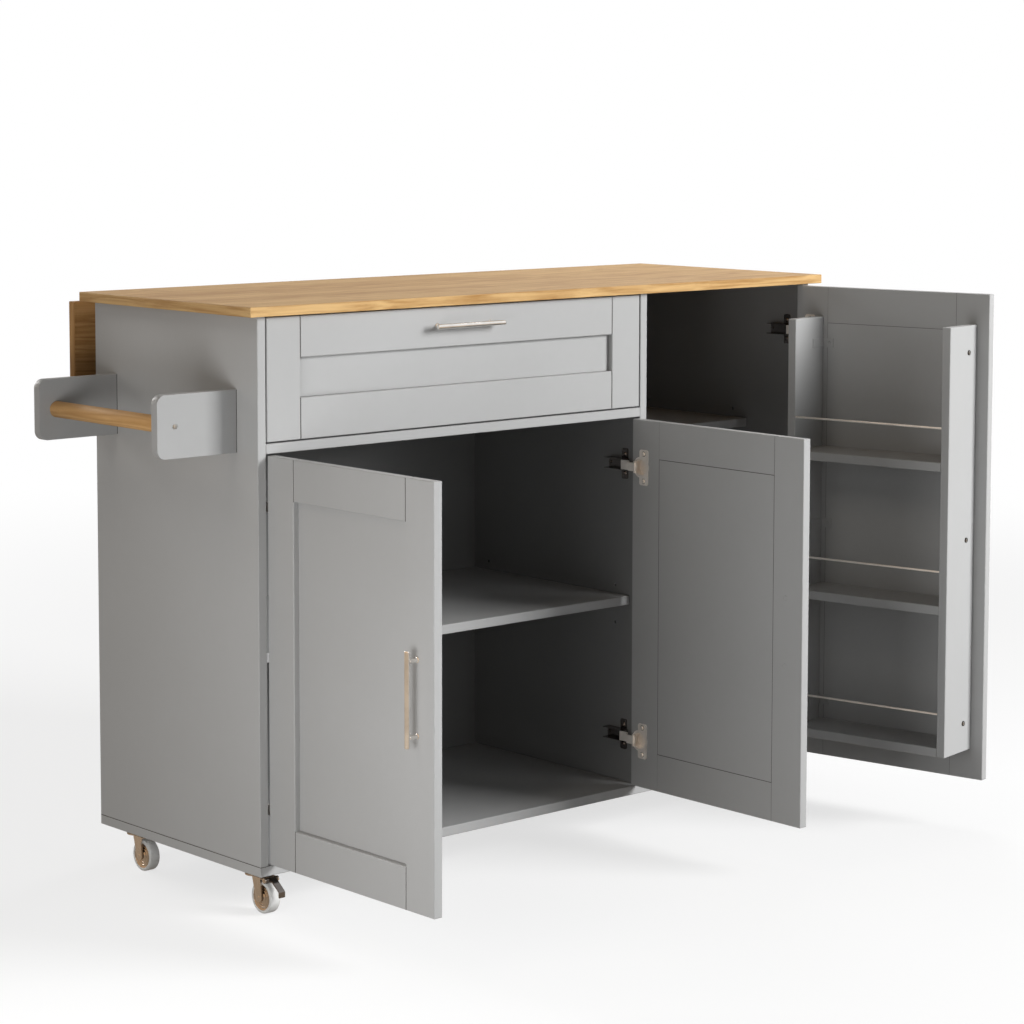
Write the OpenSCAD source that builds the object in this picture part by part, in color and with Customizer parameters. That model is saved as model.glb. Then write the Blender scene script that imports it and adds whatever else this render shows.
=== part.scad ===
// Kitchen island on casters: a grey cabinet with three shaker doors and a wide drawer, an oak
// worktop with a drop leaf behind it, a spice rack inside the tall door and a towel rail.
// Millimetres. X runs along the front, Y runs back, Z runs up. The origin is on the floor,
// under the middle of the cabinet's body. The doors stand open and the leaf hangs down.

/* [Cabinet] */
// Width of the body over its two side panels
body_w = 1190; // [1100:5:1300]
// Depth of the body, front edge to rear edge of a side panel
body_d = 427; // [400:1:500]
// Height from the underside of the base board to the underside of the worktop
body_h = 838; // [800:1:900]
// Thickness of the painted boards
board_t = 15; // [14:0.5:18]
// Thickness of the back panels
back_t = 12; // [9:0.5:15]
// Clear width of the left bay, side panel to partition
left_bay_w = 768; // [720:1:800]
// Depth of the rail under the drawer
rail_d = 80; // [60:1:120]
// Small chamfer along every board edge
edge = 0.8; // [0.3:0.1:1.2]

/* [Worktop and drop leaf] */
// Thickness of the worktop and of the drop leaf
top_t = 15; // [14:0.5:20]
// How far the worktop runs past each side panel
over_side = 21; // [18:0.5:30]
// How far the worktop runs past the front edges
over_front = 12.5; // [8:0.5:20]
// How far the worktop runs past the rear edges
over_back = 12.5; // [10:0.5:15]
// Length of the leaf, from its hinged edge to its free edge
leaf_d = 210; // [190:1:215]
// Gap between the worktop and the raised leaf
leaf_gap = 2; // [1.5:0.1:3]
// Height of the leaf's hinge axis under the worktop's underside
leaf_axis_drop = 7; // [6.8:0.1:7.6]
// Distance of the leaf's hinge axis behind the worktop's rear edge
leaf_axis_back = 7.65; // [7.4:0.05:8.2]

/* [Doors and drawer front] */
// Thickness of the door frames
door_t = 15; // [14:0.5:18]
// Gap round each door and round the drawer front
door_gap = 2.5; // [2:0.1:3.5]
// Width of the stiles and rails
stile_w = 62; // [55:1:70]
// Thickness of the recessed panels
panel_t = 6; // [5:0.5:8]
// Height of the drawer front
drawer_front_h = 184; // [160:1:200]
// Depth of the V grooves at the frame joints
vee = 1.2; // [0.6:0.1:1.6]

/* [Handles] */
// Length of a handle bar
handle_l = 138; // [120:1:150]
// Distance between a handle's two posts
handle_cc = 108; // [96:1:116]
// Radius of a handle bar
handle_r = 4; // [3.5:0.1:5]
// Distance from the door face to the middle of the bar
handle_reach = 18.5; // [16:0.5:30]
// Distance from a door's free edge to the middle of its handle
handle_in = 36; // [28:0.5:42]
// Distance from the drawer front's top edge to the middle of its handle
handle_down = 28.5; // [22:0.5:34]
// Radius of a handle post
post_r = 3.2; // [3:0.1:4]

/* [Hinges] */
// Distance from a door's top or bottom edge to its nearest hinge
hinge_inset = 78.5; // [75:0.5:100]
// Distance from a door's hinge edge to the middle of the hinge cup
cup_u = 20.5; // [20.2:0.1:20.7]
// Radius of the hinge cup
cup_r = 17.5; // [17:0.1:17.5]
// Depth of the hinge cup below the door's inner face
cup_depth = 11.5; // [10:0.1:12]
// Distance between a cup's two screws
cup_screw_cc = 45; // [44:0.5:48]

/* [Drawer] */
// Length of the drawer box
box_l = 350; // [320:1:360]
// Height of the drawer box
box_h = 120; // [100:1:125]
// Thickness of the drawer box walls
box_t = 12; // [10:0.5:15]
// Thickness of the drawer bottom
bottom_t = 5; // [3:0.5:6]
// Space that a drawer slide takes beside the drawer box
slide_t = 13; // [12.7:0.1:14]
// Height of a drawer slide
slide_h = 45; // [40:1:50]

/* [Shelves] */
// Distance of the left shelf behind the front edges
left_shelf_set = 22; // [18:1:40]
// Distance of the right shelf behind the front edges, behind the spice rack
right_shelf_set = 130; // [125:1:160]
// Height of the left shelf's top above the underside of the base board
left_shelf_z = 332; // [290:1:380]
// Height of the right shelf's top above the underside of the base board
right_shelf_z = 592; // [540:1:640]
// Radius of a shelf pin
pin_r = 2.5; // [2.5:0.5:3]

/* [Spice rack] */
// Distance from the tall door's ends to the ends of the rack's side boards
rack_inset = 51; // [45:1:60]
// Depth of the rack, from the door's inner face
rack_d = 90; // [80:1:95]
// Outer width of the rack
rack_w = 310.5; // [290:0.5:316]
// Distance of the rack from the door's hinge edge
rack_u = 38.5; // [38.5:0.5:42]
// Height of a guard rod above its shelf
rod_up = 57; // [40:1:80]
// Radius of a guard rod
rod_r = 1.75; // [1.5:0.05:2.5]

/* [Towel rail] */
// How far the towel brackets reach out from the side panel
bracket_reach = 142; // [120:1:160]
// Height of a towel bracket
bracket_h = 94; // [80:1:110]
// Distance from the worktop's underside down to the top of the towel brackets
bracket_drop = 111; // [90:1:115]
// Radius of a bracket's outer corners
bracket_corner = 14; // [8:1:24]
// Distance of the front bracket behind the front edges
bracket_set = 51.5; // [40:0.5:60]
// Free length of the towel dowel between its brackets
dowel_l = 300; // [280:1:310]
// Radius of the towel dowel
dowel_r = 12.5; // [10:0.5:15]
// Distance from the end of the brackets to the dowel's axis
dowel_in = 31; // [25:0.5:40]

/* [Casters] */
// Height of a caster, floor to base board
caster_h = 64; // [63:0.5:68]
// Radius of a wheel
wheel_r = 25; // [24:0.5:25.5]
// Width of a wheel
wheel_w = 19; // [17:0.5:22]
// Distance from a caster's swivel axis to its axle
trail = 28; // [20:0.5:30]
// Distance of a swivel axis from the ends of the base board
caster_in_x = 30; // [28:1:60]
// Distance of a swivel axis from the front and rear edges of the base board
caster_in_y = 55.5; // [50:0.5:70]

/* [Leaf stays] */
// Distance of a leaf stay from the middle of the cabinet
stay_x = 380; // [340:5:420]
// Length of a stay's wall arm
wall_arm_l = 190; // [160:5:200]
// Length of a stay's leaf arm
leaf_arm_l = 170; // [150:5:175]

/* [Hidden] */
$fn = 48;

// Paint and metal colours
grey = [0.55, 0.56, 0.57];
oak = [0.80, 0.62, 0.40];
steel = [0.74, 0.73, 0.71];
tyre_grey = [0.80, 0.80, 0.79];
cam_r = 3;
cam_l = 28;
cam_up = 8;

// Planes of the carcass
z_base = caster_h;
z_in = z_base + board_t;
z_top = z_base + body_h;
y_front = -body_d / 2;
y_back = body_d / 2;
y_back_in = y_back - back_t;
x_left = -body_w / 2;
x_right = body_w / 2;
x_left_in = x_left + board_t;
x_part = x_left_in + left_bay_w;
x_part_r = x_part + board_t;
x_right_in = x_right - board_t;
right_bay_w = x_right_in - x_part_r;
panel_h = z_top - z_in;
fit = 0.05;
seat = 0.03;
clear = 0.3;

// Doors: each turns about an upright axis on its face plane, just outside its hinge edge
axis_out = 0.5;
left_open = 90;
middle_open = 90;
right_open = 101;
double_w = (left_bay_w - 3 * door_gap) / 2;
single_w = right_bay_w - 2 * door_gap;
drawer_front_z = z_top - door_gap - drawer_front_h;
rail_z = drawer_front_z - door_gap - board_t;
door_z = z_in + door_gap;
short_h = rail_z - door_gap - door_z;
tall_h = z_top - door_gap - door_z;
short_hinges = [hinge_inset, short_h - hinge_inset];
tall_hinges = [hinge_inset, tall_h / 2, tall_h - hinge_inset];
groove_d = 5;
tongue_t = 3;
tongue_y = door_t - panel_t / 2 - tongue_t / 2;
seam = 0.25;
glue_line = 0.1;
head_sink = 2.6;

// Hinge parts, measured from the wall and from the door's edge
flange_t = 1.2;
flange_u = cup_u + 6.5;
flange_w = 20;
flange_h = 59;
boss_r = cup_r + 0.2;
cup_wall = 1.3;
cavity_r = 13.5;
lug_u = 12;
lug_w = door_t + 6;
lug_z = 7.6;
lug_t = 2;
link_pin_r = 1.5;
link_w = 14;
link_t = 2.5;
link_eye_r = 3.2;
link_straight = 16;
link_ramp = 8;
link_tail = 18;
link_step = 9;
arm_y0 = door_t + 9;
arm_l = 46;
arm_base = 2;
arm_sheet = 1.2;
arm_out = 15;
arm_w = 18.4;
tail_w = arm_w - 2 * arm_sheet - 0.5;
plate_y0 = door_t + 12;
plate_h = 51;
plate_w = 14;
plate_screw = 16;

// Drawer box
box_w = left_bay_w - 2 * slide_t;
box_z = drawer_front_z + 21;
slide_z = box_z + box_h * 0.4;
slide_y = y_front + door_t + 5;
slide_l = box_l - 5;
slide_screws = [40, slide_l - 40];
sheet = 1.5;
drawer_mid = x_left_in + left_bay_w / 2;

// Leaf
top_w = body_w + 2 * over_side;
top_d = body_d + over_front + over_back;
y_top_rear = y_back + over_back;
leaf_axis_y = y_top_rear + leaf_axis_back;
leaf_axis_z = z_top - leaf_axis_drop;
leaf_face_y = leaf_axis_y + leaf_axis_drop;
leaf_top_z = leaf_axis_z - (leaf_gap - leaf_axis_back);
stay_sheet = 2;
wall_arm_w = 22;
leaf_arm_w = 17;
stay_pin_r = 2.5;
stay_hub_r = 5.8;
lever_v = 8;
lever_drop = 24;
lever_w = 16;
lever_t = 2.8;
lever_tab_l = 20;
stay_screw_r = 1.6;

// Casters
fork_gap = 1;
fork_t = 2.5;
axle_r = 3;
hub_r = wheel_r - 5;
caster_plate = 44;
crown_z = wheel_r * 2 + 3.5;
pedal_y = 12;
pedal_z = 53;
pedal_w = 11;
caster_x = body_w / 2 - caster_in_x;
caster_y = body_d / 2 - caster_in_y;

// ---------------------------------------------------------------- shared shapes

// Corners of a rectangle with its four corners cut by e
function cut_corners(w, h, e) = [[e, 0], [w - e, 0], [w, e], [w, h - e],
    [w - e, h], [e, h], [0, h - e], [0, e]];

// A block with every edge chamfered by e
module board(size, e = edge) {
    intersection() {
        linear_extrude(size.z) polygon(cut_corners(size.x, size.y, e));
        rotate([90, 0, 90]) linear_extrude(size.x) polygon(cut_corners(size.y, size.z, e));
        translate([0, size.y, 0]) rotate([90, 0, 0])
            linear_extrude(size.y) polygon(cut_corners(size.x, size.z, e));
    }
}

// A board given by its low corner and its high corner
module board_between(low, high, e = edge) {
    translate(low) board(high - low, e);
}

// A block given by its low corner and its high corner
module block_between(low, high) {
    translate(low) cube(high - low);
}

// A cylinder along +X, +Y or +Z from a point
module rod_x(at, r, l) { translate(at) rotate([0, 90, 0]) cylinder(r = r, h = l); }
module rod_y(at, r, l) { translate(at) rotate([-90, 0, 0]) cylinder(r = r, h = l); }
module rod_z(at, r, l) { translate(at) cylinder(r = r, h = l); }

// A rectangle with round corners, centred
module round_rect(w, h, r) {
    square([w - 2 * r, h], center = true);
    square([w, h - 2 * r], center = true);
    for (sx = [-1, 1], sy = [-1, 1])
        translate([sx * (w / 2 - r), sy * (h / 2 - r)]) circle(r);
}

// A pan-head screw whose head sits on the plane z = 0 and whose shank runs down
module screw(shank_r, shank_l, head_r, head_h) {
    cross_l = head_r * 1.1;
    rim = head_h * 0.55;
    difference() {
        union() {
            translate([0, 0, -shank_l]) cylinder(r = shank_r, h = shank_l + head_h * 0.5);
            translate([0, 0, seat]) cylinder(r = head_r, h = rim);
            translate([0, 0, seat + rim]) cylinder(r1 = head_r, r2 = head_r * 0.6, h = head_h - rim);
        }
        for (a = [0, 90]) rotate(a)
            translate([-cross_l / 2, -0.35, head_h * 0.5]) cube([cross_l, 0.7, head_h]);
    }
}

// A flat-head screw let into a sheet's hole: its head's face on z = 0, its shank running down
module flat_screw(shank_l) {
    translate([0, 0, -sheet]) cylinder(r = 3.2, h = sheet);
    translate([0, 0, -shank_l]) cylinder(r = stay_screw_r, h = shank_l);
}

// ---------------------------------------------------------------- doors

// Door space: x from the hinge edge, y from the outer face to the inner face, z up.
// Each of these carries that space to where the door stands.
module stand_left(turn) {
    translate([x_left_in + door_gap - axis_out, y_front, door_z])
        rotate(-turn) translate([axis_out, 0, 0]) children();
}
module stand_right(wall_x, turn) {
    translate([wall_x - door_gap + axis_out, y_front, door_z])
        rotate(turn) mirror([1, 0, 0]) translate([axis_out, 0, 0]) children();
}
module left_door_place() { stand_left(left_open) children(); }
module middle_door_place() { stand_right(x_part, middle_open) children(); }
module right_door_place() { stand_right(x_right_in, right_open) children(); }

// Section of a stile or rail: the free edge at x = 0, the grooved inner edge at x = stile_w
function frame_section() = [[0, 0], [stile_w - vee, 0], [stile_w, vee], [stile_w, tongue_y],
    [stile_w - groove_d, tongue_y], [stile_w - groove_d, tongue_y + tongue_t],
    [stile_w, tongue_y + tongue_t], [stile_w, door_t - vee / 2], [stile_w - vee / 2, door_t],
    [0, door_t]];

// One rail, its outer edge on z = 0, between the stiles of a frame w wide
module rail(w) {
    x0 = stile_w + glue_line;
    x1 = w - stile_w - glue_line;
    intersection() {
        translate([x0, 0, 0]) rotate([90, 0, 90])
            linear_extrude(x1 - x0) polygon([for (p = frame_section()) [p.y, p.x]]);
        linear_extrude(stile_w)
            polygon([[x0 + vee, 0], [x1 - vee, 0], [x1, vee], [x1, door_t], [x0, door_t], [x0, vee]]);
    }
}

// Two stiles and two rails, four separate pieces
module shaker_frame(w, h) {
    intersection() {
        board([w, door_t, h]);
        union() {
            linear_extrude(h) polygon(frame_section());
            translate([w, 0, 0]) mirror([1, 0, 0]) linear_extrude(h) polygon(frame_section());
            rail(w);
            translate([0, 0, h]) mirror([0, 0, 1]) rail(w);
        }
    }
}

// The thin panel, flush with the inner face, its tongue let into the frame's groove
module shaker_panel(w, h) {
    reach = groove_d - clear;
    inset = stile_w + seam;
    block_between([inset, door_t - panel_t, inset], [w - inset, door_t, h - inset]);
    block_between([stile_w - reach, tongue_y + fit, stile_w - reach],
        [w - stile_w + reach, tongue_y + tongue_t - fit, h - stile_w + reach]);
}

// Holes that a door frame has for its hinge cups and its handle
module door_holes(hinges, handle_u, handle_z) {
    for (z = hinges) translate([0, 0, z]) {
        rod_y([cup_u, door_t - cup_depth - fit, 0], cup_r + fit, cup_depth + 1);
        for (s = [-1, 1])
            rod_y([flange_u, door_t - 9, s * cup_screw_cc / 2], stay_screw_r + fit, 10);
    }
    for (s = [-1, 1]) translate([handle_u, 0, handle_z + s * handle_cc / 2]) handle_hole();
}

// A hole through a door or drawer front for a handle's screw, with a sink for its head
module handle_hole() {
    rod_y([0, -1, 0], 2.1, door_t + 2);
    rod_y([0, door_t - head_sink, 0], 4.3, head_sink + 1);
}

module door_frame(w, h, hinges) {
    color(grey) difference() {
        shaker_frame(w, h);
        door_holes(hinges, w - handle_in, h / 2);
    }
}

// ---------------------------------------------------------------- handles

// A bar handle on the plane y = 0, its bar along X, with its two screws from behind
module bar_handle() {
    grip = door_t - head_sink;
    color(steel) difference() {
        union() {
            rod_x([-handle_l / 2 + 0.8, -handle_reach, 0], handle_r, handle_l - 1.6);
            for (s = [-1, 1]) {
                translate([s * handle_l / 2, -handle_reach, 0]) rotate([0, -90 * s, 0])
                    cylinder(r1 = handle_r - 0.7, r2 = handle_r, h = 0.8);
                rod_y([s * handle_cc / 2, -handle_reach, 0], post_r, handle_reach);
            }
        }
        for (s = [-1, 1]) rod_y([s * handle_cc / 2, -12, 0], 2 + fit, 13);
    }
    color(steel) for (s = [-1, 1]) translate([s * handle_cc / 2, grip, 0])
        rotate([-90, 0, 0]) screw(2, grip + 10, 4, 2.2);
}

module door_handle(w, h) {
    translate([w - handle_in, 0, h / 2]) rotate([0, 90, 0]) bar_handle();
}

// ---------------------------------------------------------------- cup hinges

// The cup, its flange and its two ears with the link's pin, in door space at height z = 0,
// and the flange's two screws
module hinge_cup() {
    color(steel) difference() {
        union() {
            rod_y([cup_u, door_t - cup_depth, 0], cup_r, cup_depth);
            rod_y([cup_u, door_t, 0], boss_r, flange_t);
            translate([flange_u, door_t + flange_t, 0]) rotate([90, 0, 0])
                linear_extrude(flange_t) round_rect(flange_w, flange_h, 4);
            for (s = [-1, 1]) translate([0, 0, s * lug_z - (s < 0 ? lug_t : 0)])
                linear_extrude(lug_t) {
                    translate([lug_u, lug_w]) circle(3);
                    polygon([[6, door_t + 0.5], [11, door_t + 0.5], [lug_u + 2.9, lug_w - 0.8],
                        [lug_u - 2.9, lug_w - 0.8]]);
                }
            rod_z([lug_u, lug_w, -lug_z - lug_t], link_pin_r, 2 * (lug_z + lug_t));
        }
        rod_y([cup_u, door_t - cup_depth + cup_wall, 0], cavity_r, cup_depth + 1);
        for (s = [-1, 1])
            rod_y([flange_u, door_t - 1, s * cup_screw_cc / 2], stay_screw_r + 0.2, 3);
    }
    color(steel) for (s = [-1, 1])
        translate([flange_u, door_t + flange_t, s * cup_screw_cc / 2])
            rotate([-90, 0, 0]) screw(stay_screw_r, flange_t + 8.5, 3.4, 1.8);
}

module hinge_cups(hinges) {
    for (z = hinges) translate([0, 0, z]) hinge_cup();
}

// Where a link's pin stands for a door opened by a turn, from the wall and the front plane
function link_pin(turn) = [door_gap - axis_out + (lug_u + axis_out) * cos(turn) + lug_w * sin(turn),
    -(lug_u + axis_out) * sin(turn) + lug_w * cos(turn)];

// The link between cup and arm: an eye round the cup's pin, a strap that steps towards the
// wall and a tail that runs in the arm's channel. It keeps its direction as the door turns.
module hinge_link() {
    half = link_t / 2;
    y1 = link_straight;
    y2 = y1 + link_ramp;
    y3 = y2 + link_tail;
    color(steel) difference() {
        union() {
            linear_extrude(link_w, center = true) {
                circle(link_eye_r);
                polygon([[-half, 0], [half, 0], [half, y1], [half - link_step, y2],
                    [-half - link_step, y2], [-half, y1]]);
            }
            linear_extrude(tail_w, center = true)
                translate([-half - link_step, y2]) square([link_t, y3 - y2]);
        }
        cylinder(r = link_pin_r + 0.06, h = link_w + 2, center = true);
    }
}

// Links of one door: side is 1 for a wall on the left and -1 for a wall on the right
module hinge_links(wall_x, side, turn, hinges) {
    for (z = hinges) translate([wall_x, y_front, door_z + z])
        mirror([side < 0 ? 1 : 0, 0, 0]) translate(link_pin(turn)) hinge_link();
}

// Wall space: x from the wall's face into the bay, y from the front plane, z = 0 at the hinge
module at_wall(wall_x, side, hinges) {
    for (z = hinges) translate([wall_x, y_front, door_z + z])
        mirror([side < 0 ? 1 : 0, 0, 0]) children();
}

// Every hinge of the three doors
module at_every_hinge() {
    at_wall(x_left_in, 1, short_hinges) children();
    at_wall(x_part, -1, short_hinges) children();
    at_wall(x_right_in, -1, tall_hinges) children();
}

// The arm: a channel open towards the bay, on the plate's stem, with its adjusting screw
module hinge_arm() {
    color(steel) difference() {
        block_between([arm_base, arm_y0, -arm_w / 2], [arm_out, arm_y0 + arm_l, arm_w / 2]);
        block_between([arm_base + arm_sheet, arm_y0 - 1, -arm_w / 2 + arm_sheet],
            [arm_out + 1, arm_y0 + arm_l + 1, arm_w / 2 - arm_sheet]);
    }
    color(steel) translate([arm_base + arm_sheet, arm_y0 + arm_l - 3.4, 0])
        rotate([0, 90, 0]) cylinder(r = 2.4, h = 1.8);
}

// The cross-shaped mounting plate with its two screws
module hinge_plate() {
    stem_l = arm_y0 + arm_l - plate_y0;
    color(steel) difference() {
        union() {
            translate([0, plate_y0 + plate_w / 2, 0]) rotate([90, 0, 90])
                linear_extrude(arm_base) round_rect(plate_w, plate_h, 3);
            block_between([0, plate_y0, -arm_w / 2], [arm_base, plate_y0 + stem_l, arm_w / 2]);
        }
        for (s = [-1, 1])
            rod_x([-1, plate_y0 + plate_w / 2, s * plate_screw], 2.5, arm_base + 2);
    }
    color(steel) for (s = [-1, 1])
        translate([arm_base, plate_y0 + plate_w / 2, s * plate_screw])
            rotate([0, 90, 0]) screw(2.3, arm_base + 10.5, 3.6, 1.8);
}

// Holes in a wall for the plates' screws
module plate_holes(wall_x, side, hinges) {
    at_wall(wall_x, side, hinges) for (s = [-1, 1])
        rod_x([-11, plate_y0 + plate_w / 2, s * plate_screw], 2.35, 12);
}

// ---------------------------------------------------------------- carcass

// Where the pins of a shelf stand: along Y and up
pin_in = 35;
pin_l = 16;
function pin_rows(set) = [y_front + set + pin_in, y_back_in - pin_in - 1];

// A row of three pin holes above one another, 32 mm apart, on both walls of a bay
module pin_holes(wall_x, side, set, shelf_top) {
    for (y = pin_rows(set), k = [-1, 0, 1])
        translate([wall_x, y, z_base + shelf_top - board_t - pin_r + k * 32])
            rotate([0, side * -90, 0]) translate([0, 0, -1]) cylinder(r = pin_r + fit, h = pin_l / 2 + 1.5);
}

module shelf_pin_set(x0, x1, set, shelf_top) {
    z = z_base + shelf_top - board_t - pin_r;
    for (y = pin_rows(set)) {
        rod_x([x0 - pin_l / 2, y, z], pin_r, pin_l);
        rod_x([x1 - pin_l / 2, y, z], pin_r, pin_l);
    }
}

// Screw stations under the base board: two for each upright board
module at_base_screws() {
    for (x = [x_left + board_t / 2, x_part + board_t / 2, x_right - board_t / 2],
        y = [y_front + 110, y_back - 110]) translate([x, y, z_base]) children();
}

// Stations of the bolts in the top edges of the three upright boards
module at_cam_bolts() {
    for (x = [x_left + board_t / 2, x_part + board_t / 2, x_right - board_t / 2],
        y = [y_front + 60, y_back - 60]) translate([x, y, z_top]) children();
}
module cam_hole() { translate([0, 0, -cam_l]) cylinder(r = cam_r + fit, h = cam_l + cam_up + 0.5); }

module worktop() {
    color(oak) difference() {
        translate([-top_w / 2, y_front - over_front, z_top]) board([top_w, top_d, top_t]);
        at_cam_bolts() cam_hole();
    }
}

module base_board() {
    color(grey) difference() {
        translate([x_left, y_front, z_base]) board([body_w, body_d, board_t]);
        at_base_screws() {
            translate([0, 0, -1]) cylinder(r = 2.6, h = board_t + 2);
            translate([0, 0, -1]) cylinder(r = 5.2, h = 4);
        }
        at_casters() caster_screw_holes();
    }
}

module screw_bore() { translate([0, 0, board_t - 1]) cylinder(r = 2.55, h = 36); }

module left_side_panel() {
    color(grey) difference() {
        translate([x_left, y_front, z_in]) board([board_t, body_d, panel_h]);
        at_base_screws() screw_bore();
        plate_holes(x_left_in, 1, short_hinges);
        pin_holes(x_left_in, 1, left_shelf_set, left_shelf_z);
        for (y = bracket_mids(), z = bracket_screw_z())
            rod_x([x_left - 1, y, z], bracket_screw_r + fit, board_t + 2);
        slide_wall_holes();
        at_cam_bolts() cam_hole();
    }
}

module right_side_panel() {
    color(grey) difference() {
        translate([x_right_in, y_front, z_in]) board([board_t, body_d, panel_h]);
        at_base_screws() screw_bore();
        plate_holes(x_right_in, -1, tall_hinges);
        pin_holes(x_right_in, -1, right_shelf_set, right_shelf_z);
        at_cam_bolts() cam_hole();
    }
}

module partition() {
    color(grey) difference() {
        translate([x_part, y_front, z_in]) board([board_t, body_d, panel_h]);
        at_base_screws() screw_bore();
        plate_holes(x_part, -1, short_hinges);
        pin_holes(x_part, -1, left_shelf_set, left_shelf_z);
        pin_holes(x_part_r, 1, right_shelf_set, right_shelf_z);
        slide_wall_holes();
        at_cam_bolts() cam_hole();
    }
}

module drawer_rail() {
    color(grey) translate([x_left_in, y_front, rail_z]) board([left_bay_w, rail_d, board_t]);
}

module back_panels() {
    color(grey) difference() {
        union() {
            translate([x_left_in, y_back_in, z_in]) board([left_bay_w, back_t, panel_h]);
            translate([x_part_r, y_back_in, z_in]) board([right_bay_w, back_t, panel_h]);
        }
        at_stays() wall_arm_holes(stay_screw_r + fit, back_t - 1);
    }
}

module shelf(x0, x1, set, top) {
    board_between([x0 + 0.5, y_front + set, z_base + top - board_t],
        [x1 - 0.5, y_back_in - 0.5, z_base + top]);
}

module left_shelf() { color(grey) shelf(x_left_in, x_part, left_shelf_set, left_shelf_z); }
module right_shelf() { color(grey) shelf(x_part_r, x_right_in, right_shelf_set, right_shelf_z); }

module shelf_pins() {
    color(steel) {
        shelf_pin_set(x_left_in, x_part, left_shelf_set, left_shelf_z);
        shelf_pin_set(x_part_r, x_right_in, right_shelf_set, right_shelf_z);
    }
}

// Long screws from below through the base board, and bolts up into the worktop
module carcass_screws() {
    color(steel) at_base_screws() {
        translate([0, 0, 1]) cylinder(r = 5, h = 2);
        translate([0, 0, 1]) cylinder(r = 2.5, h = board_t + 33);
    }
    color(steel) at_cam_bolts()
        translate([0, 0, -cam_l + 0.5]) cylinder(r = cam_r, h = cam_l + cam_up - 0.5);
}

// ---------------------------------------------------------------- towel rail

bracket_z = body_h - bracket_drop - bracket_h;
bracket_screw_r = 2.2;
bracket_screw_l = board_t + 25;
dowel_screw_r = 2;
dowel_screw_l = board_t + 24;
bore_end = 2;
function bracket_mids() = [y_front + bracket_set + board_t / 2,
    y_front + bracket_set + board_t + dowel_l + board_t / 2];
function bracket_screw_z() = [z_base + bracket_z + bracket_h * 0.26,
    z_base + bracket_z + bracket_h * 0.58];
dowel_x = x_left - bracket_reach + dowel_in;
dowel_z = z_base + bracket_z + bracket_h / 2;

// A bracket board: square at the side panel, round at its two outer corners
module towel_bracket() {
    difference() {
        rotate([90, 0, 0]) linear_extrude(board_t, center = true) difference() {
            union() {
                translate([-bracket_reach / 2, bracket_h / 2])
                    round_rect(bracket_reach, bracket_h, bracket_corner);
                translate([-bracket_corner, 0]) square([bracket_corner, bracket_h]);
            }
            translate([-bracket_reach + dowel_in, bracket_h / 2]) circle(dowel_screw_r + 0.2);
        }
        bore_l = bracket_screw_l - board_t + bore_end;
        for (z = bracket_screw_z())
            rod_x([-bore_l, 0, z - z_base - bracket_z], bracket_screw_r + fit, bore_l + 1);
    }
}

module towel_brackets() {
    color(grey) for (y = bracket_mids()) translate([x_left, y, z_base + bracket_z]) towel_bracket();
}

module towel_dowel() {
    y0 = bracket_mids()[0] + board_t / 2;
    color(oak) difference() {
        rod_y([dowel_x, y0, dowel_z], dowel_r, dowel_l);
        bore_l = dowel_screw_l - board_t + bore_end;
        for (y = [y0 - 1, y0 + dowel_l - bore_l])
            rod_y([dowel_x, y, dowel_z], dowel_screw_r + fit, bore_l + 1);
    }
}

// Four screws from inside the cabinet into the brackets and two into the dowel's ends
module towel_rail_screws() {
    color(steel) {
        for (y = bracket_mids(), z = bracket_screw_z()) translate([x_left_in, y, z])
            rotate([0, 90, 0]) screw(bracket_screw_r, bracket_screw_l, 4, 2);
        translate([dowel_x, bracket_mids()[0] - board_t / 2, dowel_z])
            rotate([90, 0, 0]) screw(dowel_screw_r, dowel_screw_l, 3.8, 2);
        translate([dowel_x, bracket_mids()[1] + board_t / 2, dowel_z])
            rotate([-90, 0, 0]) screw(dowel_screw_r, dowel_screw_l, 3.8, 2);
    }
}

// ---------------------------------------------------------------- drawer

// Slide space: x from the wall's face towards the drawer, y along the slide, z = 0 at mid height
module at_slides() {
    translate([x_left_in, slide_y, slide_z]) children();
    translate([x_part, slide_y, slide_z]) mirror([1, 0, 0]) children();
}

// A channel of sheet: two lips between x0 and x1 and a web that starts at web_x
module channel(x0, x1, half_h, web_x) {
    block_between([web_x, 0, -half_h], [web_x + sheet, slide_l, half_h]);
    for (s = [-1, 1]) translate([0, 0, s * (half_h - sheet / 2)])
        block_between([x0, 0, -sheet / 2], [x1, slide_l, sheet / 2]);
}

module drawer_slide_outers() {
    color(steel) at_slides() {
        difference() {
            channel(0, slide_t - 3.5, slide_h / 2, 0);
            for (y = slide_screws) rod_x([-1, y, 0], 3.25, sheet + 2);
        }
        for (y = slide_screws) translate([sheet, y, 0]) rotate([0, 90, 0]) flat_screw(sheet + 10);
    }
}

// Pilot holes for the slides' screws in the cabinet's boards and in the drawer's sides
module slide_wall_holes() {
    at_slides() for (y = slide_screws) rod_x([-11, y, 0], stay_screw_r + fit, 12);
}
module slide_box_holes() {
    at_slides() for (y = slide_screws) rod_x([slide_t - 1, y, 0], stay_screw_r + fit, 10);
}

module drawer_slide_middles() {
    color(steel) at_slides()
        channel(sheet + clear, slide_t - 2.5, slide_h / 2 - sheet - clear, sheet + clear);
}

module drawer_slide_inners() {
    half = slide_h / 2 - 2 * (sheet + clear);
    color(steel) at_slides() {
        difference() {
            channel(2 * (sheet + clear) + 0.4, slide_t, half, slide_t - sheet);
            for (y = slide_screws) rod_x([slide_t - sheet - 1, y, 0], 3.25, sheet + 2);
        }
        for (y = slide_screws)
            translate([slide_t - sheet, y, 0]) rotate([0, -90, 0]) flat_screw(sheet + 8);
    }
}

// Drawer-front space: x from the front's left edge, y from its face, z from its lower edge
module drawer_front_place() {
    translate([x_left_in + door_gap, y_front, drawer_front_z]) children();
}
drawer_front_w = left_bay_w - 2 * door_gap;

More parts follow.
